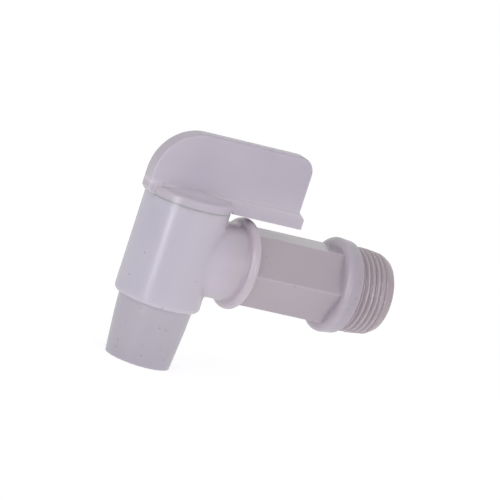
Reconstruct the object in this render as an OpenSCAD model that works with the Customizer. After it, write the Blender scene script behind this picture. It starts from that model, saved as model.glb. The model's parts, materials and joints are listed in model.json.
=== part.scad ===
// Barrel tap for a container with a threaded neck, moulded in natural polyethylene.
// Two mouldings: a body with a barrel, a hexagonal arm and a threaded spigot, and a turning
// key with a lever, a hollow plug and the pouring nozzle. The key turns in the barrel.
// Frame: X runs along the arm towards the free end of the spigot, Z is up the barrel, and the
// origin is the centre of the flange's seating face. All sizes are in millimetres.

/* [Barrel] */
// Outside diameter of the barrel
barrel_d = 26.6; // [25.8:0.2:27.4]
// Wall of the barrel
barrel_wall = 1.8; // [1.5:0.1:2.1]
// Height of the barrel's rim above the arm's axis
barrel_rise = 15.6; // [15.2:0.2:18]
// Depth of the barrel's foot below the arm's axis
barrel_drop = 16.3; // [14.5:0.1:18]
// Rounding of the barrel's foot outside
foot_round = 1.5; // [0.6:0.1:1.6]

/* [Arm] */
// Distance from the barrel's axis to the flange's seating face
arm_len = 59; // [56:0.5:66]
// Outside diameter of the round neck
neck_d = 23.8; // [22:0.2:24.4]
// Distance from the barrel's axis to the middle of the collar
collar_at = 21.6; // [20:0.2:25]
// Outside diameter of the collar
collar_d = 28.2; // [27.4:0.2:29.8]
// Thickness of the collar, which has a fully rounded rim
collar_t = 3.4; // [2:0.1:4]
// Width of the hexagon across its flats
hex_af = 22.1; // [21.6:0.1:24]
// Bore of the arm and the spigot
inlet_d = 18.8; // [16:0.2:19.4]

/* [Flange and spigot] */
// Outside diameter of the flange at its arm side
flange_d = 29.4; // [29:0.2:33]
// Length of the flange
flange_t = 6.2; // [5:0.2:9]
// Rounding of the flange's arm side
flange_round = 1.8; // [0.5:0.1:2]
// Draft of the flange's rim on the radius
flange_draft = 0.4; // [0:0.1:0.6]
// Bevel at the flange's seating face
flange_bevel = 0.7; // [0.2:0.1:1.1]
// Major diameter of the spigot's thread
thread_d = 26.4; // [25.6:0.1:26.8]
// Length of the thread at its full diameter
thread_full_len = 5; // [4:0.2:8]
// Length over which the thread's crests fall away towards the end
thread_fade_len = 5; // [3:0.2:8]
// Fall of the crests over that length, on the radius
thread_fade = 0.6; // [0.2:0.1:0.8]
// Length of the plain nose past the thread
nose_len = 2; // [0.8:0.1:2.4]
// Narrowing of the nose on the radius
nose_in = 1.1; // [0.4:0.1:1.2]

/* [Key] */
// Running clearance of the plug in the barrel, on the radius
plug_gap = 0.05; // [0.03:0.01:0.09]
// Gap between the key's skirt and the barrel's rim
skirt_gap = 0.2; // [0.1:0.05:0.4]
// Wall of the hollow plug
plug_wall = 1.9; // [1.5:0.1:2.2]
// Diameter of the port through the barrel's wall and the plug's side
port_d = 14; // [10:0.2:15]
// Height of the skirt's outer edge
skirt_h = 2.7; // [1.9:0.1:3.2]
// Diameter of the skirt over the barrel
skirt_d = 26.6; // [26:0.2:28]
// Slope of the skirt's top, from its edge up to the lever
skirt_slope = 1.4; // [0.8:0.1:2.2]
// Rounding of the skirt's upper edge
skirt_round = 0.6; // [0.2:0.1:1]

/* [Nozzle] */
// Length of the nozzle below the barrel's foot
nozzle_len = 18.8; // [14:0.2:26]
// Outside diameter of the nozzle at its outlet
nozzle_end_d = 20; // [18.4:0.2:21]
// Length of the nozzle's slim upper stretch, with less taper
nozzle_upper_len = 6.4; // [3:0.2:9]
// Narrowing of the upper stretch on the radius
nozzle_upper_taper = 0.35; // [0.1:0.05:0.5]
// Bore of the outlet
outlet_d = 16.6; // [14:0.2:17]
// Straight length of the outlet's bore
outlet_len = 5; // [4:0.2:8]

/* [Lever] */
// Height of the lever above the arm's axis
lever_top = 36.6; // [35.4:0.1:42]
// Reach of the lever in front of the barrel's axis
lever_front = 15.2; // [14.4:0.1:18]
// Reach of the lever behind the barrel's axis
lever_back = 36.2; // [30:0.2:42]
// Thickness of the lever's blade
lever_t = 5.4; // [4.8:0.1:7.6]
// Wall of the lever, which is hollow from below
lever_wall = 1.4; // [1.2:0.1:1.7]
// Radius of the lever's front shoulder
front_r = 14.8; // [8:0.2:16]
// Radius of the lever's back corner
back_r = 5; // [3:0.2:8]
// Rounding along the lever's front, upper and back edges
edge_r = 0.8; // [0.4:0.1:1.4]
// Slant under the lever's front foot
heel = 1.3; // [0.6:0.1:1.8]
// Reach of the lip round the lever's foot
lip = 1.2; // [0.8:0.1:1.8]

/* [Retention and stop] */
// Height of the snap ridge in the barrel's bore, on the radius
snap_h = 0.35; // [0.2:0.05:0.45]
// Depth of the plug's groove on the radius
groove_deep = 0.55; // [0.5:0.05:0.7]
// Clearance of the snap ridge in the plug's groove, along the barrel
snap_gap = 0.25; // [0.15:0.05:0.4]
// Distance of the snap ridge below the barrel's rim
snap_at = 3.6; // [3.2:0.1:4.4]
// Turn from shut to open
turn = 90; // [60:5:90]
// Depth of the stop's recess in the barrel's rim
stop_deep = 1.6; // [1:0.1:2]
// Width of the key's stop lug along the rim, in degrees
lug_deg = 16; // [12:1:24]
// Clearance of the stop lug in its recess
lug_gap = 0.2; // [0.15:0.05:0.3]
// Free angle beyond each end of the turn
stop_free = 2; // [1:0.5:4]

/* [Hidden] */
$fn = 96;
barrel_x = -arm_len;
bore_r = barrel_d / 2 - barrel_wall;
plug_r = bore_r - plug_gap;
cavity_r = plug_r - plug_wall;
hex_r = hex_af / sqrt(3);
flange_end_r = flange_d / 2 - flange_draft;
lever_front_x = front_r - lever_front;
lever_back_x = lever_back - back_r;
skirt_z = barrel_rise + skirt_gap;
ledge_z = skirt_z + skirt_h;
blade_z = ledge_z + skirt_slope;
nozzle_end_z = -barrel_drop - nozzle_len;
nozzle_mid_z = -barrel_drop - nozzle_upper_len;
snap_z = barrel_rise - snap_at;
groove_h = 2 * (snap_h + snap_gap);
roof_z = skirt_z + skirt_h - lever_wall;
stop_r = bore_r + barrel_wall / 2;
nose_x = thread_full_len + thread_fade_len;
nose_r = thread_d / 2 - thread_fade;
spigot_len = nose_x + nose_len;
over = 1;

// A sector of a ring about Z, from angle a0 to a1, r0 to r1 and z0 to z1
module ring_sector(r0, r1, z0, z1, a0, a1) {
    translate([0, 0, z0])
        rotate([0, 0, a0])
            rotate_extrude(angle = a1 - a0)
                translate([r0, 0])
                    square([r1 - r0, z1 - z0]);
}

// Turns a shape made about Z to run along X from x0
module along_x(x0) {
    translate([x0, 0, 0])
        rotate([0, 90, 0])
            children();
}

// The barrel, solid, with its rounded foot
module barrel_solid() {
    rotate_extrude() {
        translate([0, foot_round - barrel_drop])
            square([barrel_d / 2, barrel_rise + barrel_drop - foot_round]);
        translate([0, -barrel_drop])
            square([barrel_d / 2 - foot_round, foot_round]);
        translate([barrel_d / 2 - foot_round, foot_round - barrel_drop])
            circle(r = foot_round, $fn = 48);
    }
}

// The collar, a disc with a fully rounded rim, about X
module collar() {
    along_x(barrel_x + collar_at)
        rotate_extrude() {
            translate([0, -collar_t / 2])
                square([(collar_d - collar_t) / 2, collar_t]);
            translate([(collar_d - collar_t) / 2, 0])
                circle(d = collar_t, $fn = 48);
        }
}

// The flange, rounded at the arm side, with a drafted rim and a bevel at its seating face
module flange() {
    along_x(-flange_t)
        rotate_extrude() {
            translate([flange_d / 2 - flange_round, flange_round])
                circle(r = flange_round, $fn = 48);
            polygon([
                [0, 0],
                [flange_d / 2 - flange_round, 0],
                [flange_d / 2 - flange_round, flange_round],
                [flange_d / 2, flange_round],
                [flange_end_r, flange_t - flange_bevel],
                [flange_end_r - flange_bevel, flange_t],
                [0, flange_t]
            ]);
        }
}

// The spigot at the thread's major diameter, which falls away towards its plain nose
module spigot() {
    along_x(0)
        rotate_extrude()
            polygon([
                [0, 0],
                [thread_d / 2, 0],
                [thread_d / 2, thread_full_len],
                [nose_r, nose_x],
                [nose_r - nose_in, spigot_len],
                [0, spigot_len]
            ]);
}

// The bore of the barrel, with the snap ridge left standing and the stop's recess
module barrel_cuts() {
    difference() {
        translate([0, 0, -barrel_drop - over])
            cylinder(h = barrel_rise + barrel_drop + 2 * over, r = bore_r);
        translate([0, 0, snap_z])
            rotate_extrude()
                polygon([
                    [bore_r + over, -snap_h - over],
                    [bore_r - snap_h, 0],
                    [bore_r + over, snap_h + over]
                ]);
    }
    ring_sector(bore_r - over, stop_r, barrel_rise - stop_deep, barrel_rise + over,
        90 - lug_deg / 2 - stop_free, 90 + turn + lug_deg / 2 + stop_free);
}

module body() {
    color([0.86, 0.85, 0.88])
        difference() {
            union() {
                translate([barrel_x, 0, 0])
                    barrel_solid();
                along_x(barrel_x)
                    cylinder(h = collar_at, d = neck_d);
                collar();
                along_x(barrel_x + collar_at)
                    rotate([0, 0, 30])
                        cylinder(h = arm_len - collar_at - flange_t / 2, r = hex_r, $fn = 6);
                flange();
                spigot();
            }
            translate([barrel_x, 0, 0])
                barrel_cuts();
            along_x(barrel_x)
                cylinder(h = arm_len, d = port_d);
            along_x(barrel_x + barrel_d / 2)
                cylinder(h = arm_len + spigot_len + over, d = inlet_d);
        }
}

// Section of the blade from its middle plane out to an edge that is rounded on both sides
module blade_section(reach) {
    half = lever_t / 2;
    translate([0, -half])
        square([reach - edge_r, lever_t]);
    translate([0, edge_r - half])
        square([reach, lever_t - 2 * edge_r]);
    for (side = [-1, 1])
        translate([reach - edge_r, side * (half - edge_r)])
            circle(r = edge_r, $fn = 48);
}

// A corner of the blade: its section turned through a quarter about Y, from start degrees
module blade_corner(reach, start) {
    rotate([90, 0, 0])
        rotate([0, 0, start])
            rotate_extrude(angle = 90)
                blade_section(reach);
}

// The lever's blade, whose rounded edge runs up the front, round the front shoulder, along the
// top, round the back corner and down. Its front foot is cut back over the barrel's rim.
module blade() {
    difference() {
        union() {
            translate([lever_front_x, 0, skirt_z])
                rotate([0, 0, 180])
                    linear_extrude(height = lever_top - front_r - skirt_z)
                        blade_section(front_r);
            translate([lever_front_x, 0, lever_top - front_r])
                blade_corner(front_r, 90);
            translate([lever_back_x, 0, skirt_z])
                rotate([0, -90, 0])
                    linear_extrude(height = lever_back_x - lever_front_x)
                        blade_section(lever_top - skirt_z);
            translate([lever_back_x, 0, lever_top - back_r])
                blade_corner(back_r, 0);
            translate([lever_back_x, 0, skirt_z])
                linear_extrude(height = lever_top - back_r - skirt_z)
                    blade_section(back_r);
        }
        translate([-lever_front, 0, skirt_z])
            rotate([0, 45, 0])
                cube([sqrt(2) * heel, lever_t + over, sqrt(2) * heel], center = true);
    }
}

// The lip along the lever's foot and round its back end, with a sloped ledge above
module lip_band() {
    half = lever_t / 2;
    intersection() {
        rotate([90, 0, 90])
            linear_extrude(height = lever_back + lip)
                polygon([
                    [-half - lip, skirt_z],
                    [half + lip, skirt_z],
                    [half + lip, ledge_z],
                    [half, blade_z],
                    [-half, blade_z],
                    [-half - lip, ledge_z]
                ]);
        rotate([90, 0, 0])
            linear_extrude(height = 2 * lever_t, center = true)
                polygon([
                    [0, skirt_z],
                    [lever_back + lip, skirt_z],
                    [lever_back + lip, ledge_z],
                    [lever_back, blade_z],
                    [0, blade_z]
                ]);
    }
}

// The skirt, a round cap over the barrel's rim with a rounded edge and a gently coned top
module skirt() {
    rim_r = skirt_d / 2 - skirt_round;
    rotate_extrude() {
        polygon([
            [0, skirt_z],
            [skirt_d / 2, skirt_z],
            [skirt_d / 2, ledge_z - skirt_round],
            [rim_r, ledge_z],
            [lever_t / 2, blade_z],
            [0, blade_z]
        ]);
        translate([rim_r, ledge_z - skirt_round])
            circle(r = skirt_round, $fn = 48);
    }
}

// The plug with its groove for the snap ridge
module plug() {
    difference() {
        translate([0, 0, -barrel_drop])
            cylinder(h = barrel_drop + skirt_z, r = plug_r);
        translate([0, 0, snap_z - groove_h / 2])
            rotate_extrude()
                translate([plug_r - groove_deep, 0])
                    square([groove_deep + over, groove_h]);
    }
}

// The nozzle outside, in two tapers
module nozzle() {
    translate([0, 0, nozzle_mid_z])
        cylinder(h = nozzle_upper_len, r1 = plug_r - nozzle_upper_taper, r2 = plug_r);
    translate([0, 0, nozzle_end_z])
        cylinder(h = nozzle_len - nozzle_upper_len, r1 = nozzle_end_d / 2,
            r2 = plug_r - nozzle_upper_taper);
}

// The lug under the skirt that runs in the recess of the barrel's rim
module stop_lug() {
    ring_sector(plug_r - plug_wall / 2, stop_r - lug_gap, barrel_rise - stop_deep + lug_gap,
        skirt_z + over / 2, 90 - lug_deg / 2, 90 + lug_deg / 2);
}

// The waterway through the plug and the nozzle, with the port in the plug's side
module key_waterway() {
    translate([0, 0, nozzle_mid_z])
        cylinder(h = roof_z - nozzle_mid_z, r = cavity_r);
    translate([0, 0, nozzle_end_z + outlet_len])
        cylinder(h = nozzle_mid_z - nozzle_end_z - outlet_len, r1 = outlet_d / 2, r2 = cavity_r);
    translate([0, 0, nozzle_end_z - over])
        cylinder(h = outlet_len + over, d = outlet_d);
    rotate([0, 0, -turn])
        rotate([0, 90, 0])
            cylinder(h = plug_r + over, d = port_d);
}

// Quarter of a disc between the X and Y axes
module quarter_disc(r) {
    intersection() {
        circle(r = r);
        square(r);
    }
}

// Side outline of the lever's hollow in X and Z, one wall inside the blade
module hollow_outline() {
    z0 = skirt_z - over;
    top = lever_top - lever_wall;
    front_in = front_r - lever_wall;
    back_in = back_r - lever_wall;
    translate([lever_front_x - front_in, z0])
        square([front_in, lever_top - front_r - z0]);
    translate([lever_front_x, lever_top - front_r])
        mirror([1, 0])
            quarter_disc(front_in);
    translate([lever_front_x, z0])
        square([lever_back_x - lever_front_x, top - z0]);
    translate([lever_back_x, lever_top - back_r])
        quarter_disc(back_in);
    translate([lever_back_x, z0])
        square([back_in, lever_top - back_r - z0]);
}

// The lever's hollow, open from below: one pocket over the plug's bore and one behind it,
// with the plug's wall running up between them as a web
module lever_hollow() {
    pocket_t = lever_t - 2 * lever_wall;
    intersection() {
        rotate([90, 0, 0])
            linear_extrude(height = pocket_t, center = true)
                hollow_outline();
        union() {
            translate([0, 0, skirt_z])
                cylinder(h = lever_top, r = cavity_r);
            translate([plug_r, -pocket_t, skirt_z - 2 * over])
                cube([lever_back, 2 * pocket_t, lever_top]);
        }
    }
}

module key() {
    color([0.82, 0.82, 0.86])
        translate([barrel_x, 0, 0])
            difference() {
                union() {
                    skirt();
                    lip_band();
                    blade();
                    plug();
                    nozzle();
                    stop_lug();
                }
                key_waterway();
                lever_hollow();
            }
}

body();
key();
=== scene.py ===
"""Dresses the barrel tap: the moulded body, the turning key, their finish and the studio."""

import json
import logging
from dataclasses import dataclass
from enum import Enum
from math import copysign, cos, pi, radians, sin, sqrt, tan
from typing import Iterable, Sequence

import bmesh
import bpy
from mathutils import Matrix, Vector


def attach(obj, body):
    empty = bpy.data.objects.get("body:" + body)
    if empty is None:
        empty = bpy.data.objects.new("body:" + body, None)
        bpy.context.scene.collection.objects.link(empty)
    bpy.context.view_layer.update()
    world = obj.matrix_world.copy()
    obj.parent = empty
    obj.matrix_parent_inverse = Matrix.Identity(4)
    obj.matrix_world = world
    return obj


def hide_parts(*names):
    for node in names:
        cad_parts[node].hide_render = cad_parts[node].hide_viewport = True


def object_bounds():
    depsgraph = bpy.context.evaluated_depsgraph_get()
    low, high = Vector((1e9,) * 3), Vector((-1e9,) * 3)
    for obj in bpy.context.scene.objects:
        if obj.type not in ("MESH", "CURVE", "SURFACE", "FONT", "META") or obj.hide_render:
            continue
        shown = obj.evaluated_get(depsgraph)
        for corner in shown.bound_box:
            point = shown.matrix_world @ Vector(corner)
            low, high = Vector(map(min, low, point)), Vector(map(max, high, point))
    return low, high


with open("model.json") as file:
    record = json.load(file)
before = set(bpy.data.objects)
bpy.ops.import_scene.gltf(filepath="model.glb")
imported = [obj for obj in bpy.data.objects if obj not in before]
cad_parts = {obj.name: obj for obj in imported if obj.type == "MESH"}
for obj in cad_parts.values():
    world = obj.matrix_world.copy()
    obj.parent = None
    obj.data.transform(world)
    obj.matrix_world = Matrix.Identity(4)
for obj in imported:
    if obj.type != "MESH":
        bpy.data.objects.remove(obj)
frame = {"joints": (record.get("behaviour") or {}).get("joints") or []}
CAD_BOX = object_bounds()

Outline = list[tuple[float, float]]
Colour = tuple[float, float, float]
Direction = tuple[float, float, float]

log = logging.getLogger("barrel_tap")

# Forms are drawn in millimetres. A cutter reaches past a face by OVER, and a solid sinks into the
# next by SINK.
MM = 0.001
ROUND_STEPS = 192
WELD = 1e-5
OVER = 1.0
SINK = 0.1
TRIANGLES_MOST = 190_000

# Stretches of the noise's and the cells' values that the finish uses.
SPECK_EDGE = (0.08, 0.18)
SPECK_DRAW = (0.95, 0.97)
SPECK_SHARE = 0.3
CLOUD_STRETCH = (0.2, 0.8)
SHEEN_STRETCH = (0.3, 0.7)


class Axis(Enum):
    """Directions along which a shape can stand, with the matrix that turns Z to them."""

    UP = "Z"
    ARM = "X"
    FRONT = "-Y"

    def matrix(self) -> Matrix:
        """Returns the rotation that carries Z to this direction."""
        if self is Axis.ARM:
            return Matrix.Rotation(radians(90), 4, "Y")
        if self is Axis.FRONT:
            return Matrix.Rotation(radians(90), 4, "X")
        return Matrix.Identity(4)


class Run(Enum):
    """Directions along which a finish changes its colour."""

    ALONG_ARM = "X"
    UP = "Z"


class Join(Enum):
    """Ways of combining two solids."""

    ADD = "UNION"
    CUT = "DIFFERENCE"
    COMMON = "INTERSECT"


def arc(centre: tuple[float, float], radius: float, start: float, end: float, steps: int = 12) -> Outline:
    """Draws a round stretch of an outline.

    Args:
        centre: Middle of the arc.
        radius: Its radius.
        start: Angle of its first point, in degrees.
        end: Angle of its last point, in degrees.
        steps: Number of straight steps.

    Returns:
        The points from start to end.
    """
    turns = [radians(start + (end - start) * i / steps) for i in range(steps + 1)]
    return [(centre[0] + radius * cos(a), centre[1] + radius * sin(a)) for a in turns]


class Solid:
    """A closed mesh in millimetres that is joined with others and softened as a moulding."""

    def __init__(self, name: str, bm: bmesh.types.BMesh) -> None:
        """Closes the mesh, turns its faces outwards and puts it in the scene.

        Args:
            name: Name of the object.
            bm: The mesh in the making, which is used up.
        """
        bmesh.ops.remove_doubles(bm, verts=bm.verts, dist=WELD)
        bmesh.ops.recalc_face_normals(bm, faces=bm.faces)
        mesh = bpy.data.meshes.new(name)
        bm.to_mesh(mesh)
        bm.free()
        self.object = bpy.data.objects.new(name, mesh)
        bpy.context.scene.collection.objects.link(self.object)

    def modify(self, kind: str, **settings: object) -> None:
        """Adds one modifier and applies it.

        Args:
            kind: Type of the modifier.
            settings: Its settings by name.
        """
        modifier = self.object.modifiers.new(kind.lower(), kind)
        for key, value in settings.items():
            setattr(modifier, key, value)
        shown = self.object.evaluated_get(bpy.context.evaluated_depsgraph_get())
        mesh = bpy.data.meshes.new_from_object(shown)
        old = self.object.data
        self.object.modifiers.clear()
        self.object.data = mesh
        bpy.data.meshes.remove(old)

    def combine(self, how: Join, others: Iterable["Solid"]) -> "Solid":
        """Adds, cuts or intersects with other solids, which are used up.

        Args:
            how: The way of combining.
            others: The other solids.

        Returns:
            This solid.
        """
        for other in others:
            self.modify("BOOLEAN", operation=how.value, object=other.object, solver="EXACT")
            bpy.data.objects.remove(other.object)
        return self

    def add(self, *others: "Solid") -> "Solid":
        """Returns this solid with the others added."""
        return self.combine(Join.ADD, others)

    def cut(self, *others: "Solid") -> "Solid":
        """Returns this solid with the others cut away."""
        return self.combine(Join.CUT, others)

    def common(self, *others: "Solid") -> "Solid":
        """Returns what this solid has in common with the others."""
        return self.combine(Join.COMMON, others)


def face_of(bm: bmesh.types.BMesh, outline: Outline) -> bmesh.types.BMFace:
    """Makes one face in the XZ plane.

    Args:
        bm: The mesh in the making.
        outline: Points in X and Z.

    Returns:
        The face.
    """
    return bm.faces.new([bm.verts.new((x, 0, z)) for x, z in outline])


def turned(name: str, outline: Outline, axis: Axis = Axis.UP) -> Solid:
    """Turns an outline that starts and ends on the axis through a full circle.

    Args:
        name: Name of the solid.
        outline: Points of radius and height.
        axis: Direction of the axis.

    Returns:
        The turned solid.
    """
    bm = bmesh.new()
    verts = [bm.verts.new((r, 0, h)) for r, h in outline]
    edges = [bm.edges.new(pair) for pair in zip(verts, verts[1:])]
    bmesh.ops.spin(
        bm,
        geom=verts + edges,
        cent=(0, 0, 0),
        axis=(0, 0, 1),
        dvec=(0, 0, 0),
        angle=2 * pi,
        steps=ROUND_STEPS,
        use_merge=True,
        use_duplicate=False,
    )
    bm.transform(axis.matrix())
    return Solid(name, bm)


def swept(name: str, outline: Outline, start: float, angle: float, advance: float = 0.0) -> Solid:
    """Sweeps a closed outline round Z through part of a circle or along a screw.

    Args:
        name: Name of the solid.
        outline: Points of radius and height.
        start: First angle, in degrees.
        angle: Angle that it sweeps through, in degrees.
        advance: Travel along Z for each full turn.

    Returns:
        The swept solid.
    """
    bm = bmesh.new()
    face = face_of(bm, outline)
    steps = max(4, round(ROUND_STEPS * angle / 360))
    bmesh.ops.spin(
        bm,
        geom=[face] + list(face.edges) + list(face.verts),
        cent=(0, 0, 0),
        axis=(0, 0, 1),
        dvec=(0, 0, advance * angle / 360 / steps),
        angle=radians(angle),
        steps=steps,
        use_merge=False,
        use_duplicate=False,
    )
    bm.transform(Matrix.Rotation(radians(start), 4, "Z"))
    return Solid(name, bm)


def plate(outline: Outline, thickness: float) -> bmesh.types.BMesh:
    """Draws an outline out to a plate that is centred on the XZ plane.

    Args:
        outline: Points in X and Z.
        thickness: Thickness along Y.

    Returns:
        The mesh in the making.
    """
    bm = bmesh.new()
    face = face_of(bm, outline)
    bmesh.ops.translate(bm, verts=list(face.verts), vec=(0, -thickness / 2, 0))
    drawn = bmesh.ops.extrude_face_region(bm, geom=[face])
    moved = [v for v in drawn["geom"] if isinstance(v, bmesh.types.BMVert)]
    bmesh.ops.translate(bm, verts=moved, vec=(0, thickness, 0))
    return bm


@dataclass
class Moulding:
    """What the body and the key have in common: their fit, softened edges and placing."""

    barrel_x: float = frame["joints"][0]["pos_m"][0] / MM
    barrel_d: float = 26.6
    barrel_wall: float = 1.8
    barrel_rise: float = 15.6
    barrel_drop: float = 16.3
    port_d: float = 14.0
    snap_at: float = 3.6
    snap_h: float = 0.35
    turn: float = frame["joints"][0]["range_deg"][1]
    stop_deep: float = 1.6
    lug_deg: float = 16.0
    stop_free: float = 2.0
    smooth_deg: float = 24.0

    @property
    def bore_r(self) -> float:
        """Radius of the barrel's bore."""
        return self.barrel_d / 2 - self.barrel_wall

    @property
    def snap_z(self) -> float:
        """Height of the snap ridge."""
        return self.barrel_rise - self.snap_at

    def place(self, solid: Solid, node: str, slot: str) -> bpy.types.Object:
        """Brings a solid to metres and to its place, and lets it stand for its CAD node.

        Args:
            solid: The finished solid, in millimetres from the barrel's axis.
            node: The CAD node and body.
            slot: The record's material slot. Not used.

        Returns:
            The finished piece.
        """
        piece = solid.object
        piece.data.transform(Matrix.Scale(MM, 4) @ Matrix.Translation((self.barrel_x, 0, 0)))
        for polygon in piece.data.polygons:
            polygon.use_smooth = True
        piece.data.set_sharp_from_angle(angle=radians(self.smooth_deg))
        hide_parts(node)
        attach(piece, node)
        log.info("%s: %d faces", piece.name, len(piece.data.polygons))
        return piece


@dataclass
class TapBody(Moulding):
    """The body moulding: barrel, neck, collar, hexagonal arm, flange and threaded spigot."""

    foot_round: float = 1.5
    spare: float = 0.6
    neck_d: float = 23.8
    collar_at: float = 21.6
    collar_d: float = 28.2
    collar_t: float = 3.4
    hex_af: float = 22.1
    inlet_d: float = 18.8
    flange_d: float = 29.4
    flange_t: float = 6.2
    flange_round: float = 1.8
    flange_draft: float = 0.4
    flange_bevel: float = 0.7
    thread_d: float = 26.4
    thread_full_len: float = 5.0
    thread_fade_len: float = 5.0
    thread_fade: float = 0.6
    nose_len: float = 2.0
    nose_in: float = 1.1
    thread_pitch: float = 25.4 / 14
    thread_depth: float = 0.85
    thread_root: float = 0.3
    thread_flank: float = 36.0
    relief: float = 0.35
    collar_steps: int = 20
    voxel: float = 0.18
    smoothing: float = 0.5
    edge_passes: int = 2
    neck_blend: float = 4.2
    collar_blend: float = 0.8
    blend_passes: int = 200

    def barrel(self) -> Solid:
        """Returns the barrel, solid, with its rounded foot and a spare rim that is cut off later."""
        r = self.barrel_d / 2
        foot = arc((r - self.foot_round, self.foot_round - self.barrel_drop), self.foot_round, -90, 0)
        high = self.barrel_rise + self.spare
        outline = [(0, -self.barrel_drop)] + foot + [(r, high), (0, high)]
        return turned("barrel", outline)

    def arm(self) -> Solid:
        """Returns the round forms on the arm's axis, from the neck to the spigot's nose."""
        collar_r = (self.collar_d - self.collar_t) / 2
        core_r = self.inlet_d / 2 + OVER
        seat = -self.barrel_x
        back = seat - self.flange_t
        flange_r = self.flange_d / 2
        end_r = flange_r - self.flange_draft
        thread_r = self.thread_d / 2
        root_r = thread_r - self.thread_depth
        nose_r = thread_r - self.thread_fade
        nose_x = seat + self.thread_full_len + self.thread_fade_len
        rise = self.thread_depth * tan(radians(self.thread_flank))
        outline = [(0, 0), (self.neck_d / 2, 0), (self.neck_d / 2, self.collar_at - self.collar_t / 2)]
        outline += arc((collar_r, self.collar_at), self.collar_t / 2, -90, 90, self.collar_steps)
        outline += [(core_r, self.collar_at + self.collar_t / 2), (core_r, back)]
        outline += arc((flange_r - self.flange_round, back + self.flange_round), self.flange_round, -90, 0)
        outline += [(end_r, seat - self.flange_bevel), (end_r - self.flange_bevel, seat)]
        outline += [(root_r, seat), (root_r, seat + self.relief), (thread_r, seat + self.relief + rise)]
        outline += [(thread_r, seat + self.thread_full_len), (nose_r, nose_x)]
        outline += [(nose_r - self.nose_in, nose_x + self.nose_len), (0, nose_x + self.nose_len)]
        return turned("arm", outline, Axis.ARM)

    def hexagon(self) -> Solid:
        """Returns the hexagonal stretch, with a flat on top."""
        corner = self.hex_af / sqrt(3)
        length = -self.barrel_x - self.collar_at - self.flange_t / 2
        bm = bmesh.new()
        angles = [i * pi / 3 for i in range(6)]
        face = face_of(bm, [(corner * cos(a), corner * sin(a)) for a in angles])
        drawn = bmesh.ops.extrude_face_region(bm, geom=[face])
        moved = [v for v in drawn["geom"] if isinstance(v, bmesh.types.BMVert)]
        bmesh.ops.translate(bm, verts=moved, vec=(0, length, 0))
        bm.transform(Matrix.Translation((self.collar_at, 0, 0)) @ Matrix.Rotation(radians(-90), 4, "Z"))
        return Solid("hexagon", bm)

    def thread_groove(self) -> Solid:
        """Returns the cutter of the thread, a right-handed screw that runs off the nose."""
        thread_r = self.thread_d / 2
        root_r = thread_r - self.thread_depth
        half = self.thread_root / 2
        slope = tan(radians(self.thread_flank))
        wide = half + slope * (self.thread_depth + OVER)
        outline = [(root_r, -half), (thread_r + OVER, -wide), (thread_r + OVER, wide), (root_r, half)]
        travel = self.thread_full_len + self.thread_fade_len + self.nose_len + self.thread_pitch
        cutter = swept("thread_groove", outline, 0, 360 * travel / self.thread_pitch, self.thread_pitch)
        cutter.object.data.transform(
            Matrix.Translation((self.relief / 2 - self.barrel_x, 0, 0)) @ Axis.ARM.matrix()
        )
        return cutter

    def barrel_bore(self) -> Solid:
        """Returns the cutter of the barrel's bore, which leaves the snap ridge."""
        r = self.bore_r
        low = -self.barrel_drop - OVER
        high = self.barrel_rise + OVER
        outline = [(0, low), (r, low), (r, self.snap_z - self.snap_h)]
        outline += [(r - self.snap_h, self.snap_z), (r, self.snap_z + self.snap_h)]
        outline += [(r, high), (0, high)]
        return turned("barrel_bore", outline)

    def stop_recess(self) -> Solid:
        """Returns the cutter of the recess in which the key's lug runs."""
        r0 = self.bore_r - OVER
        r1 = self.bore_r + self.barrel_wall / 2
        low = self.barrel_rise - self.stop_deep
        high = self.barrel_rise + OVER
        half = self.lug_deg / 2 + self.stop_free
        outline = [(r0, low), (r1, low), (r1, high), (r0, high)]
        return swept("stop_recess", outline, 90 - half, self.turn + 2 * half)

    def waterway(self) -> list[Solid]:
        """Returns the cutters of the inlet bore and of the port into the barrel."""
        end = -self.barrel_x + self.thread_full_len + self.thread_fade_len + self.nose_len + OVER
        start = self.barrel_d / 2
        inlet = [(0, start), (self.inlet_d / 2, start), (self.inlet_d / 2, end), (0, end)]
        port = [(0, 0), (self.port_d / 2, 0), (self.port_d / 2, start + OVER), (0, start + OVER)]
        return [turned("inlet", inlet, Axis.ARM), turned("port", port, Axis.ARM)]

    def over_rim(self) -> Solid:
        """Returns the cutter of the spare rim, which leaves the barrel's rim crisp."""
        reach = self.barrel_d / 2 + OVER
        low = self.barrel_rise
        high = low + self.spare + OVER
        return turned("over_rim", [(0, low), (reach, low), (reach, high), (0, high)])

    def soften(self, solid: Solid) -> None:
        """Gives the body its small roundings, and the broad fillet from the neck to the barrel.

        Args:
            solid: The body, in millimetres.
        """
        solid.modify("REMESH", mode="VOXEL", voxel_size=self.voxel, use_smooth_shade=True)
        solid.modify("SMOOTH", factor=self.smoothing, iterations=self.edge_passes)
        # The weight is 1 in the creases at the barrel and at the collar, and fades away from them.
        group = solid.object.vertex_groups.new(name="fillet")
        barrel_r = self.barrel_d / 2
        neck_r = self.neck_d / 2
        crease = self.collar_at - self.collar_t / 2
        for vertex in solid.object.data.vertices:
            x, y, z = vertex.co
            if x < 0 or x > self.collar_at:
                continue
            out = abs(sqrt(y * y + z * z) - neck_r)
            at_barrel = max(abs(sqrt(x * x + y * y) - barrel_r), out) / self.neck_blend
            at_collar = sqrt((x - crease) ** 2 + out**2) / self.collar_blend
            share = 1 - min(at_barrel, at_collar)
            if share > 0:
                group.add([vertex.index], share, "REPLACE")
        solid.modify(
            "SMOOTH", factor=self.smoothing, iterations=self.blend_passes, vertex_group="fillet"
        )
        triangles = 2 * len(solid.object.data.polygons)
        solid.modify("DECIMATE", decimate_type="COLLAPSE", ratio=min(1.0, TRIANGLES_MOST / triangles))

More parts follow.
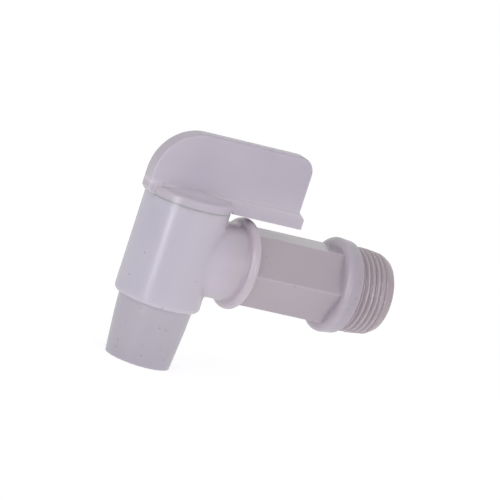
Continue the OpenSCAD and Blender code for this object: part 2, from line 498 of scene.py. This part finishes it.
    def build(self) -> bpy.types.Object:
        """Returns the finished body."""
        arm = self.arm().cut(self.thread_groove())
        body = self.barrel().add(arm, self.hexagon())
        body.cut(self.barrel_bore(), self.stop_recess(), *self.waterway())
        body.object.name = "body_moulding"
        self.soften(body)
        body.cut(self.over_rim())
        return self.place(body, "body", "body_plastic")


@dataclass
class TapKey(Moulding):
    """The key moulding: lever, skirt, hollow plug with its port, and nozzle."""

    plug_gap: float = 0.06
    skirt_gap: float = 0.02
    plug_wall: float = 1.9
    skirt_h: float = 2.7
    skirt_d: float = 26.6
    skirt_slope: float = 1.4
    skirt_round: float = 0.9
    nozzle_len: float = 18.8
    nozzle_end_d: float = 20.0
    nozzle_upper_len: float = 6.4
    nozzle_upper_taper: float = 0.35
    outlet_d: float = 16.6
    outlet_len: float = 5.0
    lever_top: float = 36.6
    lever_front: float = 15.2
    lever_back: float = 36.2
    lever_t: float = 5.4
    lever_wall: float = 1.4
    front_r: float = 14.8
    back_r: float = 5.0
    edge_r: float = 0.9
    front_edge: float = 0.4
    heel: float = 1.3
    blade_rise: float = 0.05
    lip: float = 1.2
    lip_rise: float = 0.025
    lip_inset: float = 0.01
    lip_foot_gap: float = 0.4
    lip_drop: float = 0.5
    ledge_from: float = 11.0
    ledge_start: float = 0.15
    groove_deep: float = 0.55
    groove_h: float = 1.2
    lug_gap: float = 0.2
    pocket_gap: float = 0.3
    front_steps: int = 36
    back_steps: int = 18
    pocket_steps: int = 24
    edge_steps: int = 6

    @property
    def plug_r(self) -> float:
        """Radius of the plug."""
        return self.bore_r - self.plug_gap

    @property
    def cavity_r(self) -> float:
        """Radius of the plug's cavity."""
        return self.plug_r - self.plug_wall

    @property
    def skirt_z(self) -> float:
        """Height of the skirt's underside."""
        return self.barrel_rise + self.skirt_gap

    @property
    def ledge_z(self) -> float:
        """Height of the skirt's and the lip's upper edge."""
        return self.skirt_z + self.skirt_h

    @property
    def blade_z(self) -> float:
        """Height at which the sloped ledges meet the blade."""
        return self.ledge_z + self.skirt_slope

    @property
    def nozzle_end_z(self) -> float:
        """Height of the nozzle's outlet."""
        return -self.barrel_drop - self.nozzle_len

    @property
    def nozzle_mid_z(self) -> float:
        """Height at which the nozzle's taper changes."""
        return -self.barrel_drop - self.nozzle_upper_len

    def stem(self) -> Solid:
        """Returns the nozzle, the plug and the skirt as one turned solid."""
        r = self.plug_r
        rim_r = self.skirt_d / 2 - self.skirt_round
        low = self.snap_z - self.groove_h / 2
        high = self.snap_z + self.groove_h / 2
        outline = [(0, self.nozzle_end_z), (self.nozzle_end_d / 2, self.nozzle_end_z)]
        outline += [(r - self.nozzle_upper_taper, self.nozzle_mid_z), (r, -self.barrel_drop)]
        outline += [(r, low), (r - self.groove_deep, low), (r - self.groove_deep, high), (r, high)]
        outline += [(r, self.skirt_z), (self.skirt_d / 2, self.skirt_z)]
        outline += arc((rim_r, self.ledge_z - self.skirt_round), self.skirt_round, 0, 90)
        outline += [(self.lever_t / 2, self.blade_z), (0, self.blade_z)]
        return turned("stem", outline)

    def waterway(self) -> Solid:
        """Returns the cutter of the way through the plug and the nozzle."""
        out_r = self.outlet_d / 2
        end = self.nozzle_end_z
        roof = self.ledge_z - self.lever_wall
        outline = [(0, end - OVER), (out_r, end - OVER), (out_r, end + self.outlet_len)]
        outline += [(self.cavity_r, self.nozzle_mid_z), (self.cavity_r, roof), (0, roof)]
        return turned("waterway", outline)

    def side_port(self) -> Solid:
        """Returns the cutter of the plug's port, which faces the front while the tap is shut."""
        reach = self.plug_r + OVER
        outline = [(0, 0), (self.port_d / 2, 0), (self.port_d / 2, reach), (0, reach)]
        return turned("side_port", outline, Axis.FRONT)

    def blade(self) -> Solid:
        """Returns the lever's blade with its rounded front, upper and back edges."""
        front_x = self.front_r - self.lever_front
        back_x = self.lever_back - self.back_r
        foot = self.skirt_z + self.blade_rise
        outline = [(self.heel - self.lever_front, foot), (-self.lever_front, foot + self.heel)]
        outline += arc((front_x, self.lever_top - self.front_r), self.front_r, 180, 90, self.front_steps)
        outline += arc((back_x, self.lever_top - self.back_r), self.back_r, 90, 0, self.back_steps)
        outline += [(self.lever_back, foot)]
        bm = plate(outline, self.lever_t)
        # The edges are crisp at the front and grow rounder towards the top.
        weight = bm.edges.layers.float.new("bevel_weight_edge")
        for edge in bm.edges:
            first, last = edge.verts
            middle = (first.co + last.co) / 2
            level = abs(first.co.y - last.co.y) < WELD
            if level and max(first.co.z, last.co.z) > foot + self.heel + WELD:
                share = min(1.0, max(0.0, (middle.x + self.lever_front) / self.front_r))
                edge[weight] = self.front_edge + (1 - self.front_edge) * share
        blade = Solid("blade", bm)
        blade.modify("BEVEL", width=self.edge_r, segments=self.edge_steps, limit_method="WEIGHT", profile=0.5)
        return blade

    def lip_band(self) -> Solid:
        """Returns the lip along the lever's foot, with a straight ledge that goes round its end."""
        half = self.lever_t / 2
        inner = half - SINK
        top = self.blade_z + SINK
        foot = self.skirt_z + self.lip_rise
        start = half + self.ledge_start
        outline = [(-start, foot), (start, foot), (start, self.ledge_z)]
        outline += [(inner, top), (-inner, top), (-start, self.ledge_z)]
        bm = bmesh.new()
        face = face_of(bm, outline)
        bmesh.ops.translate(bm, verts=list(face.verts), vec=(0, self.heel + SINK - self.lever_front, 0))
        # The band is narrow at its front end, and has its full width from the second section on.
        for at in (-self.ledge_from, self.lever_back + self.lip):
            drawn = bmesh.ops.extrude_face_region(bm, geom=[face])
            face = next(item for item in drawn["geom"] if isinstance(item, bmesh.types.BMFace))
            for vert in face.verts:
                vert.co.y = at
                if vert.co.z < top - WELD:
                    vert.co.x = copysign(half + self.lip, vert.co.x)
        # At the back the ledge goes round the end, so its top stays inside the blade.
        for vert in face.verts:
            if vert.co.z > top - WELD:
                vert.co.y = self.lever_back - SINK
        bm.transform(Matrix.Rotation(radians(-90), 4, "Z"))
        return Solid("lip_band", bm)

    def lip_foot(self) -> Solid:
        """Returns the lip's foot, which hangs a little lower past the barrel."""
        start = self.skirt_d / 2 + self.lip_foot_gap
        end = self.lever_back + self.lip - self.lip_inset
        low = self.skirt_z - self.lip_drop
        high = self.skirt_z + OVER
        outline = [(start, low), (end, low), (end, high), (start, high)]
        return Solid("lip_foot", plate(outline, self.lever_t + 2 * (self.lip - self.lip_inset)))

    def stop_lug(self) -> Solid:
        """Returns the lug under the skirt that stops the turn."""
        r0 = self.plug_r - self.plug_wall / 2
        r1 = self.bore_r + self.barrel_wall / 2 - self.lug_gap
        low = self.barrel_rise - self.stop_deep + self.lug_gap
        high = self.skirt_z + OVER / 2
        outline = [(r0, low), (r1, low), (r1, high), (r0, high)]
        return swept("stop_lug", outline, 90 - self.lug_deg / 2, self.lug_deg)

    def hollow(self, limits: Solid) -> Solid:
        """Makes one pocket of the lever's hollow.

        Args:
            limits: What the pocket may take up, which is used up.

        Returns:
            The cutter of the pocket.
        """
        front_x = self.front_r - self.lever_front
        back_x = self.lever_back - self.back_r
        low = self.skirt_z - OVER
        outline = [(self.lever_wall - self.lever_front, low)]
        front_in = self.front_r - self.lever_wall
        outline += arc((front_x, self.lever_top - self.front_r), front_in, 180, 90, self.pocket_steps)
        outline += arc((back_x, self.lever_top - self.back_r), self.back_r - self.lever_wall, 90, 0)
        outline += [(self.lever_back - self.lever_wall, low)]
        pocket = Solid("hollow", plate(outline, self.lever_t - 2 * self.lever_wall))
        return pocket.common(limits)

    def hollows(self) -> list[Solid]:
        """Returns the pocket over the plug's bore and the pocket behind it."""
        low = self.skirt_z
        high = self.lever_top + OVER
        r = self.cavity_r - SINK
        over_plug = turned("over_plug", [(0, low), (r, low), (r, high), (0, high)])
        start = self.plug_r + self.pocket_gap
        block = [(start, low - 2 * OVER), (start, high)]
        block += [(self.lever_back, high), (self.lever_back, low - 2 * OVER)]
        behind = Solid("behind_plug", plate(block, 2 * self.lever_t))
        return [self.hollow(over_plug), self.hollow(behind)]

    def build(self) -> bpy.types.Object:
        """Returns the finished key."""
        key = self.stem().add(self.lip_band(), self.lip_foot(), self.blade(), self.stop_lug())
        key.cut(self.waterway(), self.side_port(), *self.hollows())
        key.object.name = "key_moulding"
        return self.place(key, "key", "key_plastic")


class Kit:
    """Places nodes in a node tree and joins them."""

    def __init__(self, tree: bpy.types.NodeTree) -> None:
        """Starts on a tree.

        Args:
            tree: The node tree to fill.
        """
        self.tree = tree

    def node(self, kind: str, **settings: object) -> bpy.types.Node:
        """Adds a node.

        Args:
            kind: Type of the node.
            settings: Its settings by name.

        Returns:
            The node.
        """
        node = self.tree.nodes.new(kind)
        for key, value in settings.items():
            setattr(node, key, value)
        node.location = (220 * len(self.tree.nodes), 0)
        return node

    def put(self, socket: bpy.types.NodeSocket, value: object) -> None:
        """Joins one input to a socket, or sets its value.

        Args:
            socket: The input.
            value: A socket or a value.
        """
        if isinstance(value, bpy.types.NodeSocket):
            self.tree.links.new(value, socket)
        else:
            socket.default_value = value

    def feed(self, node: bpy.types.Node, **values: object) -> bpy.types.Node:
        """Joins sockets or sets values on a node's inputs.

        Args:
            node: The node.
            values: A socket or a value for each input. A name's lines stand for spaces.

        Returns:
            The node.
        """
        for key, value in values.items():
            self.put(node.inputs[key.replace("_", " ")], value)
        return node

    def maths(self, operation: str, first: object, second: object) -> bpy.types.NodeSocket:
        """Works out one sum.

        Args:
            operation: The operation.
            first: A socket or a number.
            second: A socket or a number.

        Returns:
            The result.
        """
        node = self.node("ShaderNodeMath", operation=operation)
        for socket, value in zip(node.inputs, (first, second)):
            self.put(socket, value)
        return node.outputs[0]

    def remap(
        self, value: bpy.types.NodeSocket, low: float, high: float, a: float, b: float
    ) -> bpy.types.NodeSocket:
        """Maps a value from low..high to a..b with soft ends.

        Args:
            value: The value.
            low: Its lower mark.
            high: Its upper mark.
            a: The result at the lower mark.
            b: The result at the upper mark.

        Returns:
            The mapped value.
        """
        node = self.node("ShaderNodeMapRange", interpolation_type="SMOOTHSTEP")
        self.feed(node, Value=value, From_Min=low, From_Max=high, To_Min=a, To_Max=b)
        return node.outputs["Result"]


def new_group(name: str, inputs: dict[str, float], outputs: Sequence[str]) -> tuple[bpy.types.NodeTree, Kit]:
    """Starts a shader node group with number inputs and outputs.

    Args:
        name: Name of the group.
        inputs: Default value for each input.
        outputs: Names of the outputs. One called Normal is a vector.

    Returns:
        The group and its kit.
    """
    group = bpy.data.node_groups.new(name, "ShaderNodeTree")
    group.interface.new_socket("Vector", in_out="INPUT", socket_type="NodeSocketVector")
    for key, value in inputs.items():
        socket = group.interface.new_socket(key, in_out="INPUT", socket_type="NodeSocketFloat")
        socket.default_value = value
    for key in outputs:
        kind = "NodeSocketVector" if key == "Normal" else "NodeSocketFloat"
        group.interface.new_socket(key, in_out="OUTPUT", socket_type=kind)
    return group, Kit(group)


def clouding_group() -> bpy.types.NodeTree:
    """Returns the group that clouds the plastic: a mask of soft patches and one of specks."""
    group, kit = new_group("clouding", {"Patch": 45.0, "Speck": 640.0, "Share": 0.25}, ["Cloud", "Specks"])
    given = kit.node("NodeGroupInput").outputs
    patch = kit.node("ShaderNodeTexNoise")
    kit.feed(patch, Vector=given["Vector"], Scale=given["Patch"], Detail=1.0, Roughness=0.4)
    cell = kit.node("ShaderNodeTexVoronoi", feature="F1")
    kit.feed(cell, Vector=given["Vector"], Scale=given["Speck"])
    dot = kit.remap(cell.outputs["Distance"], *SPECK_EDGE, 1.0, 0.0)
    drawn = kit.maths("ADD", cell.outputs["Color"], kit.maths("MULTIPLY", given["Share"], SPECK_SHARE))
    rare = kit.remap(drawn, *SPECK_DRAW, 0.0, 1.0)
    put = kit.node("NodeGroupOutput")
    cloud = kit.remap(patch.outputs["Fac"], *CLOUD_STRETCH, 0.0, 1.0)
    kit.feed(put, Cloud=cloud, Specks=kit.maths("MULTIPLY", dot, rare))
    return group


def skin_group() -> bpy.types.NodeTree:
    """Returns the group of the moulded skin: a wavy, slightly pearly surface as a normal."""
    inputs = {"Wave": 150.0, "Grain": 2400.0, "Wave Height": 0.00001, "Grain Height": 0.0000008}
    group, kit = new_group("moulded_skin", inputs, ["Normal", "Sheen"])
    given = kit.node("NodeGroupInput").outputs
    wave = kit.node("ShaderNodeTexNoise")
    kit.feed(wave, Vector=given["Vector"], Scale=given["Wave"], Detail=1.0)
    grain = kit.node("ShaderNodeTexNoise")
    kit.feed(grain, Vector=given["Vector"], Scale=given["Grain"], Detail=2.0)
    height = kit.maths(
        "ADD",
        kit.maths("MULTIPLY", wave.outputs["Fac"], given["Wave Height"]),
        kit.maths("MULTIPLY", grain.outputs["Fac"], given["Grain Height"]),
    )
    bump = kit.node("ShaderNodeBump")
    kit.feed(bump, Height=height, Distance=1.0, Strength=1.0)
    put = kit.node("NodeGroupOutput")
    kit.feed(put, Normal=bump.outputs["Normal"], Sheen=wave.outputs["Fac"])
    return group


@dataclass(frozen=True)
class Band:
    """The plastic at one place, in metres: its colour, share of dark specks and how deep light goes. A colour
    can also hold painted light.
    """

    at: float
    colour: Colour
    specks: float = 0.25
    depth: float = 0.0022


@dataclass(frozen=True)
class Polyethylene:
    """Natural polyethylene: milky, translucent and softly glossy."""

    name: str
    run: Run
    bands: tuple[Band, ...]
    gloss: tuple[float, float]
    haze: Colour = (0.93, 0.92, 0.94)
    speck: Colour = (0.35, 0.33, 0.32)
    deepest: float = 0.01
    ior: float = 1.5
    coat: float = 1.0
    coat_gloss: float = 0.17
    spread: Colour = (1.0, 0.93, 0.97)

    def build(self, clouding: bpy.types.NodeTree, skin: bpy.types.NodeTree) -> bpy.types.Material:
        """Makes the material.

        Args:
            clouding: The group of patches and specks.
            skin: The group of the moulded skin.

        Returns:
            The material.
        """
        material = bpy.data.materials.new(self.name)
        material.use_nodes = True
        tree = material.node_tree
        tree.nodes.clear()
        kit = Kit(tree)
        place = kit.node("ShaderNodeTexCoord").outputs["Object"]
        share = self.along(kit, place)
        # The band colours, which include painted light at the key's skirt top.
        colour = self.ramp(kit, share, [(*band.colour, band.specks) for band in self.bands])
        deep = self.ramp(kit, share, [(band.depth / self.deepest,) * 3 + (1.0,) for band in self.bands])
        cloud = kit.node("ShaderNodeGroup", node_tree=clouding)
        kit.feed(cloud, Vector=place, Share=colour["Alpha"])
        surface = kit.feed(kit.node("ShaderNodeGroup", node_tree=skin), Vector=place)
        milky = self.mix(kit, cloud.outputs["Cloud"], colour["Color"], self.haze, "MULTIPLY")
        specked = self.mix(kit, cloud.outputs["Specks"], milky, self.speck, "MIX")
        gloss = kit.remap(surface.outputs["Sheen"], *SHEEN_STRETCH, *self.gloss)
        shader = kit.node("ShaderNodeBsdfPrincipled", subsurface_method="RANDOM_WALK")
        kit.feed(
            shader,
            Base_Color=specked,
            Roughness=gloss,
            Normal=surface.outputs["Normal"],
            IOR=self.ior,
            Subsurface_Weight=1.0,
            Coat_Weight=self.coat,
            Coat_Roughness=self.coat_gloss,
            Subsurface_Radius=self.spread,
            Subsurface_Scale=kit.maths("MULTIPLY", deep["Color"], self.deepest),
        )
        put = kit.node("ShaderNodeOutputMaterial")
        kit.feed(put, Surface=shader.outputs["BSDF"])
        return material

    def along(self, kit: Kit, place: bpy.types.NodeSocket) -> bpy.types.NodeSocket:
        """Finds how far a place lies along the bands.

        Args:
            place: The place on the object.

        Returns:
            The share, from 0 at the first band to 1 at the last.
        """
        along = kit.feed(kit.node("ShaderNodeSeparateXYZ"), Vector=place).outputs[self.run.value]
        share = kit.node("ShaderNodeMapRange")
        kit.feed(share, Value=along, From_Min=self.bands[0].at, From_Max=self.bands[-1].at)
        return share.outputs["Result"]

    def ramp(
        self, kit: Kit, share: bpy.types.NodeSocket, values: Sequence[tuple[float, ...]]
    ) -> bpy.types.bpy_prop_collection:
        """Runs a value from band to band.

        Args:
            share: How far a place lies along the bands.
            values: Red, green, blue and alpha at each band.

        Returns:
            The outputs Color and Alpha.
        """
        node = kit.feed(kit.node("ShaderNodeValToRGB"), Fac=share)
        first = self.bands[0].at
        last = self.bands[-1].at
        stops = node.color_ramp.elements
        while len(stops) < len(self.bands):
            stops.new(0.5)
        for stop, band, value in zip(stops, self.bands, values):
            stop.position = (band.at - first) / (last - first)
            stop.color = value
        return node.outputs

    @staticmethod
    def mix(
        kit: Kit, factor: bpy.types.NodeSocket, first: object, second: object, blend: str
    ) -> bpy.types.NodeSocket:
        """Mixes two colours.

        Args:
            factor: Share of the second colour.
            first: A colour or a socket.
            second: A colour or a socket.
            blend: Way of mixing.

        Returns:
            The mixed colour.
        """
        node = kit.node("ShaderNodeMix", data_type="RGBA", blend_type=blend)
        kit.put(node.inputs["Factor"], factor)
        sockets = [s for s in node.inputs if s.type == "RGBA"]
        for socket, value in zip(sockets, (first, second)):
            kit.put(socket, value if isinstance(value, bpy.types.NodeSocket) else (*value, 1.0))
        return next(s for s in node.outputs if s.type == "RGBA")


BODY_FINISH = Polyethylene(
    name="body_polyethylene",
    run=Run.ALONG_ARM,
    bands=(
        Band(-0.0730, (0.75, 0.71, 0.83)),
        Band(-0.0480, (0.77, 0.71, 0.81)),
        Band(-0.0430, (0.72, 0.65, 0.73), depth=0.004),
        Band(-0.0360, (0.71, 0.63, 0.70), depth=0.004),
        Band(-0.0350, (0.61, 0.54, 0.60), depth=0.0014),
        Band(-0.0080, (0.61, 0.54, 0.60), 0.7, 0.0014),
        Band(-0.0050, (0.62, 0.56, 0.64), 0.5, 0.004),
        Band(0.0000, (0.57, 0.51, 0.58), 0.5, 0.004),
        Band(0.0020, (0.58, 0.50, 0.54), 1.0),
        Band(0.0120, (0.54, 0.46, 0.50), 1.0),
    ),
    gloss=(0.29, 0.34),
)
KEY_FINISH = Polyethylene(
    name="key_polyethylene",
    run=Run.UP,
    bands=(
        Band(-0.0350, (0.62, 0.585, 0.665), 0.6),
        Band(-0.0160, (0.68, 0.64, 0.72), 0.5),
        Band(0.0156, (0.73, 0.675, 0.765), 0.0, 0.0008),
        Band(0.0183, (0.74, 0.68, 0.77), 0.0, 0.0008),
        # Painted light: this band is much lighter than its neighbours, to lighten the sloped tops of the
        # skirt and the lip where the lever shades them.
        Band(0.0189, (0.86, 0.81, 0.89), 0.0, 0.0009),
        Band(0.0205, (0.745, 0.69, 0.785), 0.0, 0.0009),
        Band(0.0260, (0.71, 0.65, 0.75), 0.0, 0.0009),
        Band(0.0366, (0.69, 0.63, 0.73), 0.0, 0.0009),
    ),
    gloss=(0.3, 0.38),
)


@dataclass(frozen=True)
class Lamp:
    """One soft lamp, placed from the tap's middle. One for glints only is seen just in the gloss."""

    name: str
    towards: Direction
    distance: float
    size: tuple[float, float]
    power: float
    glint_only: bool = False

    def build(self, middle: Vector) -> None:
        """Makes the lamp.

        Args:
            middle: The point that it shines at.
        """
        data = bpy.data.lights.new(self.name, "AREA")
        data.shape = "RECTANGLE"
        data.size, data.size_y = self.size
        data.energy = self.power
        lamp = bpy.data.objects.new(self.name, data)
        away = Vector(self.towards).normalized()
        lamp.location = middle + away * self.distance
        lamp.rotation_euler = away.to_track_quat("Z", "Y").to_euler()
        lamp.visible_camera = False
        lamp.visible_diffuse = not self.glint_only
        bpy.context.scene.collection.objects.link(lamp)


FRONT_LEFT: Direction = (-0.803, -0.552, 0.225)
FRONT_RIGHT: Direction = (0.184, -0.983, 0.2)


@dataclass
class Studio:
    """The floor, the world, the lamps and the camera. Angles are in degrees, other sizes in metres."""

    swing: float = 28.3
    height: float = 9.9
    roll: float = 18.1
    focal_px: float = 4500.0
    image_px: float = 500.0
    sensor_mm: float = 36.0
    px_per_mm: float = 3.35
    middle_px: tuple[float, float] = (172.5, 249.0)
    nearest: float = 0.01
    floor_size: float = 6.0
    paper: Colour = (0.8, 0.8, 0.8)
    ambient: float = 0.64
    mirrored: float = 0.78
    paper_glow: float = 0.6
    bounce: float = 0.3
    lamps: tuple[Lamp, ...] = (
        Lamp("strip_lamp", FRONT_LEFT, 1.2, (0.13, 1.1), 1.1),
        Lamp("glint_lamp", FRONT_LEFT, 1.19, (0.4, 1.1), 2.6, glint_only=True),
        Lamp("fill_lamp", FRONT_RIGHT, 1.4, (0.5, 0.7), 1.7),
    )

    def camera(self) -> None:
        """Sets the camera at the photograph's angle, with the tap in its place in the frame."""
        al = radians(self.swing)
        el = radians(self.height)
        tilt = radians(self.roll)
        back = Vector((-sin(al) * cos(el), -cos(al) * cos(el), sin(el)))
        right = Vector((cos(al), -sin(al), 0))
        up = back.cross(right)
        frame_right = right * cos(tilt) + up * sin(tilt)
        frame_up = up * cos(tilt) - right * sin(tilt)
        away = self.focal_px / self.px_per_mm * MM
        off_x = (self.middle_px[0] - self.image_px / 2) / self.focal_px * away
        off_y = (self.middle_px[1] - self.image_px / 2) / self.focal_px * away
        data = bpy.data.cameras.new("camera")
        data.sensor_width = self.sensor_mm
        data.lens = self.focal_px / self.image_px * self.sensor_mm
        data.clip_start = self.nearest
        camera = bpy.data.objects.new("camera", data)
        turn = Matrix((frame_right, frame_up, back)).transposed().to_4x4()
        spot = Vector(frame["joints"][0]["pos_m"]) + back * away - frame_right * off_x + frame_up * off_y
        camera.matrix_world = Matrix.Translation(spot) @ turn
        bpy.context.scene.collection.objects.link(camera)
        bpy.context.scene.camera = camera

    def floor(self) -> None:
        """Lays the pale floor under the nozzle, white to the camera and with a soft shadow."""
        bm = bmesh.new()
        bmesh.ops.create_grid(bm, x_segments=1, y_segments=1, size=self.floor_size / 2)
        low = Vector(CAD_BOX[0]).z
        bmesh.ops.translate(bm, verts=bm.verts, vec=(0, 0, low))
        mesh = bpy.data.meshes.new("floor")
        bm.to_mesh(mesh)
        bm.free()
        floor = bpy.data.objects.new("floor", mesh)
        bpy.context.scene.collection.objects.link(floor)
        material = bpy.data.materials.new("floor_paper")
        material.use_nodes = True
        tree = material.node_tree
        tree.nodes.clear()
        kit = Kit(tree)
        paper = kit.feed(kit.node("ShaderNodeBsdfDiffuse"), Color=(*self.paper, 1.0))
        strength = kit.maths("MAXIMUM", self.seen(kit, self.paper_glow, self.paper_glow), self.bounce)
        glow = kit.feed(kit.node("ShaderNodeEmission"), Strength=strength)
        both = kit.node("ShaderNodeAddShader")
        kit.put(both.inputs[0], paper.outputs[0])
        kit.put(both.inputs[1], glow.outputs[0])
        put = kit.node("ShaderNodeOutputMaterial")
        kit.feed(put, Surface=both.outputs[0])
        mesh.materials.append(material)
        floor.visible_glossy = False
        floor.visible_shadow = False

    @staticmethod
    def seen(kit: Kit, direct: float, mirrored: float) -> bpy.types.NodeSocket:
        """Gives a strength to what is seen directly, and to what is seen in or through the tap.

        Args:
            direct: The strength where the camera sees it.
            mirrored: The strength in a reflection or through the tap.

        Returns:
            The strength, which is 0 for light that falls on the tap.
        """
        path = kit.node("ShaderNodeLightPath").outputs
        indirect = kit.maths("MAXIMUM", path["Is Glossy Ray"], path["Is Transmission Ray"])
        near = kit.maths("MULTIPLY", path["Is Camera Ray"], direct)
        return kit.maths("MAXIMUM", near, kit.maths("MULTIPLY", indirect, mirrored))

    def world(self) -> None:
        """Makes the world white where it is seen, and a plain soft light elsewhere."""
        world = bpy.data.worlds.new("studio")
        world.use_nodes = True
        tree = world.node_tree
        tree.nodes.clear()
        kit = Kit(tree)
        strength = kit.maths("MAXIMUM", self.seen(kit, 1.0, self.mirrored), self.ambient)
        sky = kit.feed(kit.node("ShaderNodeBackground"), Strength=strength)
        put = kit.node("ShaderNodeOutputWorld")
        kit.feed(put, Surface=sky.outputs[0])
        bpy.context.scene.world = world

    def build(self) -> None:
        """Sets up the whole studio."""
        low, high = (Vector(v) for v in CAD_BOX)
        for lamp in self.lamps:
            lamp.build((low + high) / 2)
        self.world()
        self.floor()
        self.camera()
        bpy.context.scene.view_settings.view_transform = "Standard"


def main() -> None:
    """Builds the tap and its studio."""
    logging.basicConfig(level=logging.INFO, format="%(name)s: %(message)s")
    Studio().build()
    clouding = clouding_group()
    skin = skin_group()
    for piece, finish in ((TapBody().build(), BODY_FINISH), (TapKey().build(), KEY_FINISH)):
        piece.data.materials.clear()
        piece.data.materials.append(finish.build(clouding, skin))
        log.info("%s wears %s", piece.name, finish.name)


if __name__ == "__main__":
    main()
